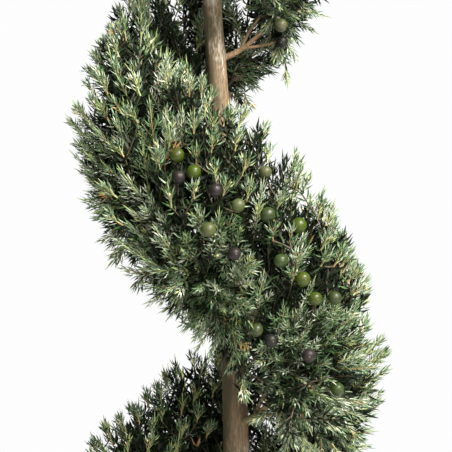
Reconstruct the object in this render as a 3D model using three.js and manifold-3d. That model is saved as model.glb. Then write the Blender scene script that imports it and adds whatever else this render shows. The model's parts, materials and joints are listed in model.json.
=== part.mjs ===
// Spiral topiary: a clipped juniper rooted in the ground. One whole, gently bent trunk runs from a flat cut
// at ground level to the tip. A thick ribbon of foliage winds up round it, left-handed, in separate masses
// end to end, each carried by its own bough, and a small pointed tuft closes the top.
// Millimetres, +Z up. The origin is the centre of the flat cut under the trunk.
import * as THREE from 'three';
import { mergeVertices } from 'three/addons/utils/BufferGeometryUtils.js';
import Module from 'manifold-3d';

// ---- Driving dimensions ----
const plantHeight = 1230;          // ground to the tip of the top tuft
const fit = 0.3;                   // gap between touching solids

const trunk = {
  tip: 1205,                       // height of the woody tip, inside the top tuft
  rootRadius: 11.1,                // radius that the taper would have at the ground, without the flare
  tipRadius: 0.8,
  sides: 12,
  rings: 34,
  crowding: 1.35,                  // exponent that draws the rings together towards the ground
  flare: 0.6,                      // extra radius at the ground, as a share of rootRadius
  flareHeight: 26,                 // height over which the flare fades
  flareLobes: 5,
  // The way the stem leans and comes back: x, y, z.
  bends: [
    [0, 0, 0], [4, -2, 170], [6.5, -2, 380], [2, 1, 525],
    [-8, 2, 660], [-13, 0, 840], [-11, -2, 1030], [-9, 0, 1205],
  ],
};

const ribbon = {
  firstTurn: -0.26,                // turns are counted from the lowest full section, upwards
  lastTurn: 3.71,
  footHeight: 170,                 // height of the section's centre at turn 0
  footPitch: 289,                  // rise of one turn at turn 0
  pitchLoss: 20,                   // how much the pitch shrinks with each turn
  footAzimuth: 2.4,                // degrees, at turn 0
  halfDepth: 80,                   // half of the section's height, at the reference radius
  referenceRadius: 91,
  tilt: 0.06,                      // rise of the section's outer side, as a share of the distance out
  sideDrop: 4.5,                   // how much lower the ribbon passes on the +X side, and higher on the -X
  point: 1.17,                     // exponent of the section's curve: 1 is an ellipse, more a pointed lens
  depthExponent: 0.45,             // how the section's height follows the crown's radius
  innerShare: 0.21,                // inner radius as a share of the outer radius
  endFade: 0.26,                   // turns over which the ribbon narrows at its two ends
  endShare: 0.42,                  // height of the section at those ends, as a share
  masses: 24,
  sectionPoints: 16,
  sectionsPerMass: 5,
  unevenness: 0.055,
  bulge: 0.045,                    // each mass swells this much between its two ends
};

const crown = { foot: 80, top: 1120, footRadius: 103, topRadius: 27, roundness: 2.2 };

const bough = {
  radiusShare: 0.027,              // radius at the trunk, as a share of the crown's radius there
  tipShare: 0.72,                  // radius at its outer end, as a share of that
  drop: 0.95,                      // where it leaves the trunk, below the section's centre, in half depths
  entry: 0.74,                     // where it enters the mass, the same way
  into: 7,                         // how far it reaches into the mass
  sag: 0.12,                       // how much it bows downwards, as a share of its length
  sides: 8,
  rings: 5,
};

const tuft = {
  foot: 1128,
  widest: 1150,                    // height of its widest ring
  footRadius: 16,
  widestRadius: 30,
  tipRadius: 1.5,                  // kept at every height, so that the tip stays a solid
  narrowing: 0.8,                  // exponent of the taper from the widest ring to the tip
  rings: 9,
  points: 14,
};

// ---- Helpers ----
const wasm = await Module();
wasm.setup();

const stemCurve = new THREE.CatmullRomCurve3(trunk.bends.map((p) => new THREE.Vector3(...p)));

// The trunk's centre at a height, by bisection along its curve.
function stemCentre(height) {
  let low = 0;
  let high = 1;
  for (let i = 0; i < 24; i++) {
    const middle = (low + high) / 2;
    if (stemCurve.getPoint(middle).z < height) low = middle;
    else high = middle;
  }
  const centre = stemCurve.getPoint((low + high) / 2);
  return new THREE.Vector3(centre.x, centre.y, height);
}

function trunkRadius(height) {
  const taper = THREE.MathUtils.lerp(trunk.rootRadius, trunk.tipRadius, height / trunk.tip);
  return taper + trunk.rootRadius * trunk.flare * Math.exp(-height / trunk.flareHeight);
}

// The clipped outline of the whole crown: a slim, rounded cone.
function crownRadius(height) {
  const share = THREE.MathUtils.clamp((height - crown.foot) / (crown.top - crown.foot), 0, 1);
  return crown.topRadius + (crown.footRadius - crown.topRadius) * (1 - share ** crown.roundness);
}

// A closed mesh through rings of points, each ring joined to the next, with a fan over both ends.
function loft(rings) {
  const count = rings[0].length;
  const last = rings.length - 1;
  const points = rings.flat();
  const corners = [];
  for (let i = 0; i < last; i++) {
    for (let k = 0; k < count; k++) {
      const a = i * count + k;
      const b = i * count + ((k + 1) % count);
      corners.push(a, b, b + count, a, b + count, a + count);
    }
  }
  for (const [ring, turned] of [[0, true], [last, false]]) {
    const centre = points.length;
    const middle = new THREE.Vector3();
    rings[ring].forEach((p) => middle.addScaledVector(p, 1 / count));
    points.push(middle);
    for (let k = 0; k < count; k++) {
      const a = ring * count + k;
      const b = ring * count + ((k + 1) % count);
      corners.push(...(turned ? [centre, b, a] : [centre, a, b]));
    }
  }
  return facingOut(new THREE.BufferGeometry().setFromPoints(points).setIndex(corners));
}

// Turns every face round if the mesh is inside out.
function facingOut(geometry) {
  const at = geometry.getAttribute('position');
  const index = geometry.index.array;
  const corner = (i) => new THREE.Vector3().fromBufferAttribute(at, index[i]);
  let volume = 0;
  for (let i = 0; i < index.length; i += 3) {
    volume += corner(i).dot(corner(i + 1).cross(corner(i + 2)));
  }
  if (volume < 0) geometry.setIndex([...index].reverse());
  return geometry;
}

function solidOf(geometry) {
  const merged = mergeVertices(geometry, 1e-4);
  return new wasm.Manifold(new wasm.Mesh({
    numProp: 3,
    vertProperties: merged.getAttribute('position').array,
    triVerts: new Uint32Array(merged.index.array),
  }));
}

function geometryOf(solid) {
  const mesh = solid.getMesh();
  const geometry = new THREE.BufferGeometry();
  geometry.setAttribute('position', new THREE.BufferAttribute(mesh.vertProperties, 3));
  geometry.setIndex(new THREE.BufferAttribute(mesh.triVerts, 1));
  return geometry;
}

// Round rings along a path, for a limb of changing radius.
function limb(path, radii, sides) {
  const rings = path.map((centre, i) => {
    const before = path[Math.max(i - 1, 0)];
    const after = path[Math.min(i + 1, path.length - 1)];
    const along = after.clone().sub(before).normalize();
    const across = new THREE.Vector3(0, 0, 1).cross(along).normalize();
    const up = along.clone().cross(across);
    return Array.from({ length: sides }, (_, k) => {
      const angle = (2 * Math.PI * k) / sides;
      return centre.clone()
        .addScaledVector(across, radii[i] * Math.cos(angle))
        .addScaledVector(up, radii[i] * Math.sin(angle));
    });
  });
  return loft(rings);
}

// ---- Trunk ----
// Level rings from the ground to the tip, closer together in the flare, whose lobes are the roots' tops.
function trunkGeometry(growth) {
  const rings = Array.from({ length: trunk.rings }, (_, i) => {
    const share = i / (trunk.rings - 1);
    const height = (trunk.tip + growth) * share ** trunk.crowding;
    const centre = stemCentre(height);
    const lobe = trunk.flare * Math.exp(-height / trunk.flareHeight);
    return Array.from({ length: trunk.sides }, (_, k) => {
      const angle = (2 * Math.PI * k) / trunk.sides;
      const swell = 1 + 0.3 * lobe * Math.cos(trunk.flareLobes * angle);
      const radius = trunkRadius(height) * swell + growth;
      return centre.clone().add(new THREE.Vector3(radius * Math.cos(angle), radius * Math.sin(angle), 0));
    });
  });
  return loft(rings);
}

// ---- Ribbon of foliage ----
// Rises from 0 to 1, fast at first and slowly at the end.
const easeOut = (share) => Math.sin((Math.PI / 2) * THREE.MathUtils.clamp(share, 0, 1));

function sectionAt(turn) {
  const azimuth = THREE.MathUtils.degToRad(ribbon.footAzimuth) - 2 * Math.PI * turn;
  const climb = ribbon.footPitch * turn - (ribbon.pitchLoss * turn ** 2) / 2;
  const height = ribbon.footHeight + climb - ribbon.sideDrop * Math.cos(azimuth);
  const outer = crownRadius(height);
  const inner = ribbon.innerShare * outer;
  const toEnd = Math.min(turn - ribbon.firstTurn, ribbon.lastTurn - turn) / ribbon.endFade;
  const fade = THREE.MathUtils.lerp(ribbon.endShare, 1, easeOut(toEnd));
  const halfWidth = ((outer - inner) / 2) * Math.sqrt(fade);
  return {
    height,
    outward: new THREE.Vector3(Math.cos(azimuth), Math.sin(azimuth), 0),
    along: new THREE.Vector3(Math.sin(azimuth), -Math.cos(azimuth), 0),
    middle: inner + halfWidth,
    halfWidth,
    halfDepth: ribbon.halfDepth * (outer / ribbon.referenceRadius) ** ribbon.depthExponent * fade,
    outer,
  };
}

// A smooth, uneven swelling of the clipped surface, the same on both sides of a joint between two masses.
function swelling(turn, angle) {
  const waves = Math.sin(3 * angle + 11 * turn)
    + 0.8 * Math.sin(2 * angle - 17 * turn + 1.3)
    + 0.6 * Math.sin(5 * angle + 29 * turn + 0.7);
  return 1 + ribbon.unevenness * waves / 1.5;
}

// A cosine or sine drawn in towards the middle, which turns the section from an ellipse into a lens.
const lensShare = (share) => Math.sign(share) * Math.abs(share) ** ribbon.point;

// The point of a section at an angle round it, 0 being outwards and a quarter turn upwards.
function sectionPoint(section, angle, scale) {
  const across = section.halfWidth * lensShare(Math.cos(angle)) * scale;
  const rise = section.halfDepth * lensShare(Math.sin(angle)) * scale + ribbon.tilt * across;
  const lean = stemCentre(section.height + rise).sub(stemCentre(section.height)).dot(section.outward);
  const radius = section.middle + across + lean;
  return stemCentre(section.height)
    .addScaledVector(section.outward, radius)
    .add(new THREE.Vector3(0, 0, rise));
}

function massGeometry(index) {
  const span = (ribbon.lastTurn - ribbon.firstTurn) / ribbon.masses;
  const rings = Array.from({ length: ribbon.sectionsPerMass }, (_, i) => {
    const share = i / (ribbon.sectionsPerMass - 1);
    const turn = ribbon.firstTurn + span * (index + share);
    const section = sectionAt(turn);
    const gap = fit * (0.5 - share);
    const swell = 1 - ribbon.bulge * (1 - Math.sin(Math.PI * share));
    return Array.from({ length: ribbon.sectionPoints }, (_, k) => {
      const angle = (2 * Math.PI * k) / ribbon.sectionPoints;
      return sectionPoint(section, angle, swell * swelling(turn, angle)).addScaledVector(section.along, gap);
    });
  });
  return loft(rings);
}

// ---- Boughs ----
// Each leaves the trunk under its mass, bows a little, and ends just inside the mass's lower inner side.
function boughGeometry(index, growth) {
  const span = (ribbon.lastTurn - ribbon.firstTurn) / ribbon.masses;
  const section = sectionAt(ribbon.firstTurn + span * (index + 0.5));
  const start = stemCentre(section.height - bough.drop * section.halfDepth);
  const entryAngle = Math.PI + Math.asin(bough.entry);
  const entry = sectionPoint(section, entryAngle, 1);
  const heading = entry.clone().sub(start).normalize();
  const end = entry.clone().addScaledVector(heading, bough.into + growth);
  const length = end.distanceTo(start);
  const path = Array.from({ length: bough.rings }, (_, i) => {
    const share = i / (bough.rings - 1);
    const bow = -bough.sag * length * Math.sin(Math.PI * share);
    return start.clone().lerp(end, share).add(new THREE.Vector3(0, 0, bow));
  });
  const radii = path.map((_, i) => {
    const share = i / (bough.rings - 1);
    return bough.radiusShare * section.outer * THREE.MathUtils.lerp(1, bough.tipShare, share) + growth;
  });
  return limb(path, radii, bough.sides);
}

// ---- Top tuft ----
function tuftGeometry() {
  const rings = Array.from({ length: tuft.rings }, (_, i) => {
    const share = i / (tuft.rings - 1);
    const height = THREE.MathUtils.lerp(tuft.foot, plantHeight, share);
    const rising = easeOut((height - tuft.foot) / (tuft.widest - tuft.foot));
    const left = THREE.MathUtils.clamp((plantHeight - height) / (plantHeight - tuft.widest), 0, 1);
    const widest = THREE.MathUtils.lerp(tuft.footRadius, tuft.widestRadius, rising);
    const radius = widest * left ** tuft.narrowing + tuft.tipRadius;
    const centre = stemCentre(Math.min(height, trunk.tip)).setZ(height);
    return Array.from({ length: tuft.points }, (_, k) => {
      const angle = (2 * Math.PI * k) / tuft.points;
      const reach = radius * swelling(height / plantHeight, angle);
      return centre.clone().add(new THREE.Vector3(reach * Math.cos(angle), reach * Math.sin(angle), 0));
    });
  });
  return loft(rings);
}

// ---- Assembly ----
const bark = new THREE.MeshStandardMaterial({ name: 'bark', color: '#8a7158', roughness: 0.85 });
const foliage = new THREE.MeshStandardMaterial({ name: 'foliage', color: '#4f6b58', roughness: 0.6 });

const topiary = new THREE.Group();
topiary.name = 'spiral_topiary';

function add(name, geometry, material) {
  const mesh = new THREE.Mesh(geometry, material);
  mesh.name = name;
  topiary.add(mesh);
}

const numbered = (word, index) => `${word}_${String(index + 1).padStart(2, '0')}`;
const stemRoom = solidOf(trunkGeometry(fit));

add('trunk', trunkGeometry(0), bark);
for (let i = 0; i < ribbon.masses; i++) {
  const limbSolid = solidOf(boughGeometry(i, 0)).subtract(stemRoom);
  const pieces = limbSolid.decompose().sort((a, b) => b.volume() - a.volume());
  add(numbered('bough', i), geometryOf(pieces[0]), bark);
  const socket = solidOf(boughGeometry(i, fit));
  const mass = solidOf(massGeometry(i)).subtract(socket).subtract(stemRoom);
  add(numbered('foliage', i), geometryOf(mass), foliage);
}
add('top_tuft', geometryOf(solidOf(tuftGeometry()).subtract(stemRoom)), foliage);

export default topiary;
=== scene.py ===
"""The looks of a spiral topiary: a juniper clipped to a spiral and rooted in level ground.

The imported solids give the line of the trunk, the line of each bough and the clipped outline of each mass
of foliage. Here the trunk and the boughs get their bark, and each mass is grown again: twigs fork from its
bough by a seeded rule, leafy shoots run from the twigs to the outline, and needles, buds and berries sit on
the shoots. Lengths are in millimetres, and turn to metres where a mesh is made.
"""

from __future__ import annotations

import json
import logging
import math
from collections.abc import Iterable
from dataclasses import dataclass, field, fields
from enum import Enum
from typing import NamedTuple

import bpy
import numpy as np
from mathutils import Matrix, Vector, noise
from mathutils.bvhtree import BVHTree
from mathutils.kdtree import KDTree


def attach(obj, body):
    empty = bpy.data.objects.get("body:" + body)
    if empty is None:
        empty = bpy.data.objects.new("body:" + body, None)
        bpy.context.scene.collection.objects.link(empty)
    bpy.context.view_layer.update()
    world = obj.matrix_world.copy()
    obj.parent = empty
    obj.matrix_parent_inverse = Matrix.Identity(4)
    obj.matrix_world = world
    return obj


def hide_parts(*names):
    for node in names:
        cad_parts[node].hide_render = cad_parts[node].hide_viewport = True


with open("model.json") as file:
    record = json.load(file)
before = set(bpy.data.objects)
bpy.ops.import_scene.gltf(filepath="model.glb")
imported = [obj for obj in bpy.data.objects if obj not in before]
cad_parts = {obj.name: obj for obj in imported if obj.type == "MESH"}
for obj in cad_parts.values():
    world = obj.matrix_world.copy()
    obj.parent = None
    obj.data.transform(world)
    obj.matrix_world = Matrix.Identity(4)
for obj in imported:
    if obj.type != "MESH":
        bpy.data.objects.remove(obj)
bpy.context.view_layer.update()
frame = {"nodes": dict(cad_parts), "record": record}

LOG = logging.getLogger("topiary")
MM = 0.001                   # metres
UP = np.array([0.0, 0.0, 1.0])
ASKEW = (0.31, 0.52, 0.79)   # a direction that no stem runs in, to lay rings out from
BODY = "root"
MASS_SEED = 7100             # each mass adds its own number to it
BERRY_SEED = 88


# ---- Small helpers ----


def unit(vectors: np.ndarray) -> np.ndarray:
    """Vectors of length 1 along the given ones."""
    return vectors / np.maximum(np.linalg.norm(vectors, axis=-1, keepdims=True), 1e-12)


def smooth_step(low: float, high: float, value: np.ndarray) -> np.ndarray:
    """Rises smoothly from 0 at low to 1 at high."""
    share = np.clip((value - low) / (high - low), 0.0, 1.0)
    return share * share * (3.0 - 2.0 * share)


def drift(points: np.ndarray, wavelength: float, seed: float = 0.0) -> np.ndarray:
    """Smooth noise at each point, from about -1 to 1.

    Args:
        points: Places in millimetres, one to a row.
        wavelength: Distance in millimetres over which the noise changes.
        seed: Shift that gives a different noise.

    Returns:
        One value for each point.
    """
    return np.array([noise.noise(Vector(p / wavelength) + Vector((seed, -seed, 2 * seed))) for p in points])


def spaced(points: np.ndarray, gaps: np.ndarray, order: Iterable[int]) -> list[int]:
    """Takes points one by one, and leaves out each that lies too near one already taken.

    Args:
        points: The points, one to a row.
        gaps: How far each has to be from every other.
        order: The numbers of the points to try, in order.

    Returns:
        The numbers of the points taken.
    """
    chosen: list[int] = []
    for i in order:
        if not chosen or np.linalg.norm(points[chosen] - points[i], axis=1).min() > gaps[i]:
            chosen.append(i)
    return chosen


def rings_round(along: np.ndarray, sides: int, askew: tuple[float, float, float] = ASKEW) -> np.ndarray:
    """Rings of radius 1 across some directions.

    Args:
        along: The direction that each ring faces, in the last axis.
        sides: Corners of a ring.
        askew: A direction that none of them runs in.

    Returns:
        The corners, as one more axis before the last.
    """
    across = unit(np.cross(along, askew))
    other = np.cross(unit(along), across)
    angle = 2 * math.pi * np.arange(sides) / sides
    return across[..., None, :] * np.cos(angle)[:, None] + other[..., None, :] * np.sin(angle)[:, None]


def linear(colour: str) -> tuple[float, float, float, float]:
    """The linear colour of an sRGB hex value.

    Args:
        colour: Six hex digits after a hash.

    Returns:
        Red, green, blue and alpha, as a shader socket takes them.
    """
    parts = [int(colour[i : i + 2], 16) / 255 for i in (1, 3, 5)]
    return tuple(c / 12.92 if c <= 0.04045 else ((c + 0.055) / 1.055) ** 2.4 for c in parts) + (1.0,)


def vertices_of(node: str) -> np.ndarray:
    """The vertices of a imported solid, in millimetres, one to a row."""
    mesh = frame["nodes"][node].data
    flat = np.empty(len(mesh.vertices) * 3)
    mesh.vertices.foreach_get("co", flat)
    return flat.reshape(-1, 3) / MM


def corners_of(node: str) -> np.ndarray:
    """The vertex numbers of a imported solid's triangles, one triangle to a row."""
    mesh = frame["nodes"][node].data
    mesh.calc_loop_triangles()
    flat = np.empty(len(mesh.loop_triangles) * 3, np.int32)
    mesh.loop_triangles.foreach_get("vertices", flat)
    return flat.reshape(-1, 3)


# ---- Finishes ----


def add_node(
    tree: bpy.types.NodeTree, kind: str, settings: dict | None = None, links: dict | None = None
) -> bpy.types.Node:
    """Adds a node to a tree.

    Args:
        tree: The tree that gets the node.
        kind: The node's type name.
        settings: Values by name, for the node's own properties or its input sockets.
        links: Output sockets by the name or number of the input that each one feeds.

    Returns:
        The new node.
    """
    node = tree.nodes.new(kind)
    for name, value in (settings or {}).items():
        if isinstance(name, str) and hasattr(node, name):
            setattr(node, name, value)
        else:
            node.inputs[name].default_value = value
    for name, socket in (links or {}).items():
        tree.links.new(socket, node.inputs[name])
    return node


def new_material(name: str) -> tuple[bpy.types.Material, bpy.types.NodeTree]:
    """An empty node material, and its tree."""
    material = bpy.data.materials.new(name)
    material.use_nodes = True
    material.node_tree.nodes.clear()
    return material, material.node_tree


@dataclass(frozen=True)
class PlainFinish:
    """One colour and gloss all over, for things too small to carry a pattern of their own."""

    name: str
    colour: str
    roughness: float
    specular: float = 0.5

    def material(self) -> bpy.types.Material:
        """The material, made the first time that it is asked for."""
        found = bpy.data.materials.get(self.name)
        if found:
            return found
        material, tree = new_material(self.name)
        shader = add_node(tree, "ShaderNodeBsdfPrincipled", {
            "Base Color": linear(self.colour), "Roughness": self.roughness, "IOR": 1.45,
            "Specular IOR Level": self.specular,
        })
        add_node(tree, "ShaderNodeOutputMaterial", links={"Surface": shader.outputs[0]})
        material.diffuse_color = linear(self.colour)
        return material


class NeedleTone(Enum):
    """Juniper needles under their wax: dull blue-green when old, paler and yellower when young. SHADE, and
    DEEP in part, are painted shade for the needles deep inside the foliage.
    """

    # painted shade: the darkest tone, dealt to needles deep inside the foliage
    SHADE = PlainFinish("needle_shade", "#0f1a09", 0.6, 0.25)
    DEEP = PlainFinish("needle_deep", "#2d4625", 0.42, 0.45)
    GREEN = PlainFinish("needle_green", "#466239", 0.4, 0.5)
    BLUE = PlainFinish("needle_blue", "#5e7657", 0.38, 0.5)
    GREY = PlainFinish("needle_grey", "#808f79", 0.36, 0.5)
    PALE = PlainFinish("needle_pale", "#acb0a0", 0.36, 0.5)
    YOUNG = PlainFinish("needle_young", "#8a935f", 0.46, 0.4)
    DRY = PlainFinish("needle_dry", "#a08352", 0.6, 0.3)


NEEDLE_TONES = list(NeedleTone)
PALEST = NEEDLE_TONES.index(NeedleTone.PALE)         # the tones up to this one run from dark to pale


class WoodTone(Enum):
    """Twigs by age: grey-brown bark, red-brown bark, straw, and the green skin of this year's shoots. The
    two barks also darken the stems of the deeper sprays, as painted shade.
    """

    OLD = PlainFinish("twig_old", "#312c23", 0.8)
    BROWN = PlainFinish("twig_brown", "#403828", 0.7)
    STRAW = PlainFinish("twig_straw", "#998459", 0.6)
    GREEN = PlainFinish("twig_green", "#8b9060", 0.55)
    TIP = PlainFinish("shoot_tip", "#7c8c5a", 0.5)
    BUD = PlainFinish("bud_scale", "#c8b78e", 0.55)
    SCAR = PlainFinish("berry_scar", "#4a4034", 0.6)


WOOD_TONES = list(WoodTone)


@dataclass(frozen=True)
class BerryFinish:
    """Juniper berry skin: smooth, under a dusty bloom of wax, with a blush that spreads from the tip."""

    name: str
    colour: str
    blush: str
    bloom: str
    roughness: float
    bloom_cover: float = 0.35
    cloud: float = 5.0           # millimetres across a cloud of bloom

    def material(self) -> bpy.types.Material:
        """The material, made the first time that it is asked for."""
        found = bpy.data.materials.get(self.name)
        if found:
            return found
        material, tree = new_material(self.name)
        place = add_node(tree, "ShaderNodeTexCoord").outputs["Object"]
        clouds = add_node(tree, "ShaderNodeTexNoise", {
            "Scale": 1 / (self.cloud * MM), "Detail": 4.0, "Roughness": 0.6,
        }, {"Vector": place}).outputs["Fac"]
        ripe = add_node(tree, "ShaderNodeAttribute", {"attribute_name": "ripe"}).outputs["Fac"]
        edge = add_node(tree, "ShaderNodeMath", {"operation": "MULTIPLY_ADD", 1: 0.9}, {0: clouds, 2: ripe})
        share = add_node(tree, "ShaderNodeMapRange", {
            "From Min": 0.75, "From Max": 1.45,
        }, {"Value": edge.outputs[0]})
        skin = add_node(tree, "ShaderNodeMix", {
            "data_type": "RGBA", 6: linear(self.colour), 7: linear(self.blush),
        }, {0: share.outputs[0]})
        dust = add_node(tree, "ShaderNodeMapRange", {
            "From Min": 0.42, "From Max": 0.68, "To Max": self.bloom_cover,
        }, {"Value": clouds})
        dusty = add_node(tree, "ShaderNodeMix", {"data_type": "RGBA", 7: linear(self.bloom)}, {
            0: dust.outputs[0], 6: skin.outputs[2],
        })
        shader = add_node(tree, "ShaderNodeBsdfPrincipled", {
            "Roughness": self.roughness, "IOR": 1.45, "Specular IOR Level": 0.25,
            "Subsurface Weight": 0.1, "Subsurface Scale": 0.002, "Subsurface Radius": (1.0, 0.8, 0.3),
        }, {"Base Color": dusty.outputs[2]})
        add_node(tree, "ShaderNodeOutputMaterial", links={"Surface": shader.outputs[0]})
        material.diffuse_color = linear(self.colour)
        return material


class BerrySkin(Enum):
    """The berries' ripeness, from fresh green to nearly black."""

    GREEN = BerryFinish("berry_green", "#2d3b07", "#33291e", "#48541e", 0.38, 0.16)
    DARK_GREEN = BerryFinish("berry_dark_green", "#253213", "#2a241e", "#3b4630", 0.4, 0.3)
    BLUE_GREEN = BerryFinish("berry_blue_green", "#384120", "#43332e", "#585945", 0.44, 0.35)
    PURPLE = BerryFinish("berry_purple", "#1c1716", "#151112", "#302b2a", 0.5, 0.2)
    BLUE_BLACK = BerryFinish("berry_blue_black", "#141511", "#111011", "#282a27", 0.5, 0.25)


@dataclass(frozen=True)
class BarkFinish:
    """Juniper bark: thin, fibrous and cracked, pale where it has weathered, red-brown underneath, mossy.
    Its moss is laid mostly on the side facing -x, away from the lamps, as painted shade, and its rust
    mostly on the side facing +x, as a painted rim of the key light.
    """

    name: str = "bark_stem"
    dark: str = "#4c4130"
    middle: str = "#6b5a43"
    pale: str = "#8d877c"
    # rust; the finish lays it mostly on the side facing +x, as a painted rim of the key light
    rust: str = "#6f533a"
    # moss; the finish lays it mostly on the side facing -x, away from the lamps, as painted shade
    moss: str = "#37331e"
    fibre: float = 0.9           # millimetres across one fibre
    stretch: float = 5.0         # how much longer a fibre is than it is wide
    patch: float = 17.0          # millimetres across a weathered patch
    paleness: float = 0.5        # how much of the bark is weathered pale
    relief: float = 0.3          # millimetres, of the fibres that the mesh is too coarse for

    def material(self) -> bpy.types.Material:
        """The material, made the first time that it is asked for."""
        found = bpy.data.materials.get(self.name)
        if found:
            return found
        material, tree = new_material(self.name)
        place = add_node(tree, "ShaderNodeTexCoord").outputs["Object"]

        def cloud(width: float, longer: float, detail: float) -> bpy.types.NodeSocket:
            """Noise of one width in millimetres, drawn out up the stem."""
            drawn = add_node(tree, "ShaderNodeMapping", {"Scale": (1, 1, 1 / longer)}, {"Vector": place})
            return add_node(tree, "ShaderNodeTexNoise", {
                "Scale": 1 / (width * MM), "Detail": detail, "Roughness": 0.62,
            }, {"Vector": drawn.outputs[0]}).outputs["Fac"]

        def rise(
            value: bpy.types.NodeSocket, low: float, high: float, top: float = 1.0
        ) -> bpy.types.NodeSocket:
            """From 0 to top as the value goes from low to high."""
            return add_node(tree, "ShaderNodeMapRange", {
                "From Min": low, "From Max": high, "To Max": top,
            }, {"Value": value}).outputs[0]

        def mix(
            share: bpy.types.NodeSocket, below: bpy.types.NodeSocket, above: str
        ) -> bpy.types.NodeSocket:
            """A colour laid over another."""
            return add_node(tree, "ShaderNodeMix", {"data_type": "RGBA", 7: linear(above)}, {
                0: share, 6: below,
            }).outputs[2]

        fibres, patches = cloud(self.fibre, self.stretch, 5.0), cloud(self.patch, 2.5, 4.0)
        cracks, spots = cloud(1.5 * self.fibre, 3.0, 3.0), cloud(0.55 * self.patch, 2.0, 3.0)
        base = add_node(tree, "ShaderNodeMix", {
            "data_type": "RGBA", 6: linear(self.dark), 7: linear(self.middle),
        }, {0: rise(fibres, 0.38, 0.6)}).outputs[2]
        weathered = add_node(tree, "ShaderNodeMath", {"operation": "MULTIPLY_ADD", 1: 0.5}, {
            0: fibres, 2: patches,
        })
        low = 0.92 - 0.3 * self.paleness
        colour = mix(rise(weathered.outputs[0], low, low + 0.12), base, self.pale)
        facing = add_node(tree, "ShaderNodeSeparateXYZ", links={
            0: add_node(tree, "ShaderNodeTexCoord").outputs["Normal"],
        }).outputs["X"]
        # painted light: rust gathers where the normal faces +x, the key lamp's side
        lit_side_rust = add_node(tree, "ShaderNodeMath", {"operation": "MULTIPLY_ADD", 1: 0.22}, {
            0: facing, 2: spots,
        })
        colour = mix(rise(lit_side_rust.outputs[0], 0.66, 0.8, 0.45), colour, self.rust)
        # painted shade: moss gathers where the normal faces -x, away from the lamps
        moss_and_shade_share = add_node(tree, "ShaderNodeMath", {"operation": "MULTIPLY_ADD", 1: -0.3}, {
            0: facing, 2: cloud(0.8 * self.patch, 1.5, 3.0),
        })
        colour = mix(rise(moss_and_shade_share.outputs[0], 0.5, 0.68, 0.8), colour, self.moss)
        colour = mix(rise(cracks, 0.4, 0.3, 0.5), colour, self.dark)
        bump = add_node(tree, "ShaderNodeBump", {
            "Strength": 1.0, "Distance": self.relief * MM,
        }, {"Height": fibres})
        shader = add_node(tree, "ShaderNodeBsdfPrincipled", {
            "Roughness": 0.75, "Specular IOR Level": 0.35,
        }, {"Base Color": colour, "Normal": bump.outputs[0]})
        add_node(tree, "ShaderNodeOutputMaterial", links={"Surface": shader.outputs[0]})
        return material


STEM_BARK = BarkFinish()
LIMB_BARK = BarkFinish(
    name="bark_limb", dark="#4a3928", middle="#785e43", pale="#a98d6b", rust="#805b3a", moss="#6c6448",
    fibre=0.7, stretch=4.0, patch=9.0, paleness=0.45, relief=0.2,
)


@dataclass(frozen=True)
class FloorFinish:
    """Smooth pale paper, which fades out at its rim so that it has no edge."""

    name: str = "floor_paper"
    colour: str = "#f4f4f2"
    fade_from: float = 900.0
    fade_to: float = 1650.0

    def material(self) -> bpy.types.Material:
        """The material."""
        material, tree = new_material(self.name)
        place = add_node(tree, "ShaderNodeTexCoord").outputs["Object"]
        reach = add_node(tree, "ShaderNodeVectorMath", {"operation": "LENGTH"}, {0: place})
        fade = add_node(tree, "ShaderNodeMapRange", {
            "From Min": self.fade_from * MM, "From Max": self.fade_to * MM,
            "interpolation_type": "SMOOTHSTEP",
        }, {"Value": reach.outputs["Value"]})
        paper = add_node(tree, "ShaderNodeBsdfPrincipled", {
            "Base Color": linear(self.colour), "Roughness": 0.9, "Specular IOR Level": 0.1,
        })
        clear = add_node(tree, "ShaderNodeBsdfTransparent")
        mixed = add_node(tree, "ShaderNodeMixShader", links={
            0: fade.outputs[0], 1: paper.outputs[0], 2: clear.outputs[0],
        })
        add_node(tree, "ShaderNodeOutputMaterial", links={"Surface": mixed.outputs[0]})
        return material


# ---- Meshes ----


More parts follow.
